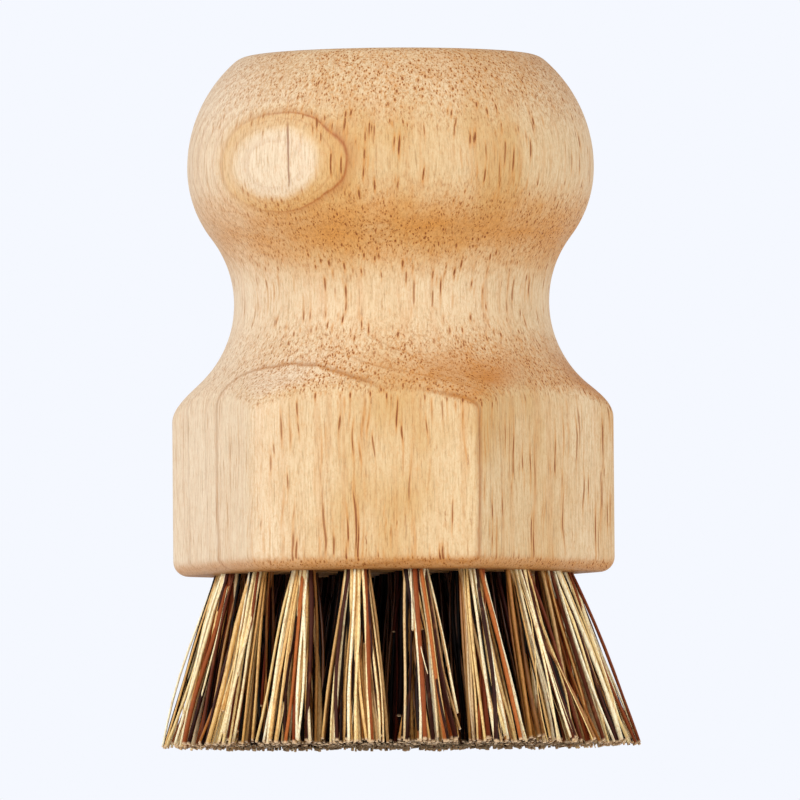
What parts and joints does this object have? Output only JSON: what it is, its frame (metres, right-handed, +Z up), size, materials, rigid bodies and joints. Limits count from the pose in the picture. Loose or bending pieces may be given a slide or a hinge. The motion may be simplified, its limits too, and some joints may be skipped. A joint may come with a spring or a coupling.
{
  "type": "palm brush",
  "caption": "Small scrubbing brush held in the palm: turned wooden knob on a hexagonal base, with fanned tufts of stiff plant fibre set in rings on wire staples.",
  "frame": {"origin": "middle of the brush face, at the bristle tips, where the brush stands on a surface", "axes": "+Z up through the neck to the knob's flat top; -Y out of the middle of one flat of the hexagonal base, the front face"},
  "size_m": [0.0626, 0.0628, 0.09],
  "materials": {
    "handle_wood": "satin",
    "bristle_fibre": "matte",
    "staple_wire": "satin"
  },
  "bodies": {
    "root": {"handle": "handle_wood", "staples": "staple_wire", "tuft_centre": "bristle_fibre", "tuft_inner_1": "bristle_fibre", "tuft_inner_2": "bristle_fibre", "tuft_inner_3": "bristle_fibre", "tuft_inner_4": "bristle_fibre", "tuft_inner_5": "bristle_fibre", "tuft_inner_6": "bristle_fibre", "tuft_middle_1": "bristle_fibre", "tuft_middle_2": "bristle_fibre", "tuft_middle_3": "bristle_fibre", "tuft_middle_4": "bristle_fibre", "tuft_middle_5": "bristle_fibre", "tuft_middle_6": "bristle_fibre", "tuft_middle_7": "bristle_fibre", "tuft_middle_8": "bristle_fibre", "tuft_middle_9": "bristle_fibre", "tuft_middle_10": "bristle_fibre", "tuft_middle_11": "bristle_fibre", "tuft_middle_12": "bristle_fibre", "tuft_outer_1": "bristle_fibre", "tuft_outer_2": "bristle_fibre", "tuft_outer_3": "bristle_fibre", "tuft_outer_4": "bristle_fibre", "tuft_outer_5": "bristle_fibre", "tuft_outer_6": "bristle_fibre", "tuft_outer_7": "bristle_fibre", "tuft_outer_8": "bristle_fibre", "tuft_outer_9": "bristle_fibre", "tuft_outer_10": "bristle_fibre", "tuft_outer_11": "bristle_fibre", "tuft_outer_12": "bristle_fibre", "tuft_outer_13": "bristle_fibre", "tuft_outer_14": "bristle_fibre", "tuft_outer_15": "bristle_fibre", "tuft_outer_16": "bristle_fibre", "tuft_outer_17": "bristle_fibre", "tuft_outer_18": "bristle_fibre"}
  },
  "joints": []
}
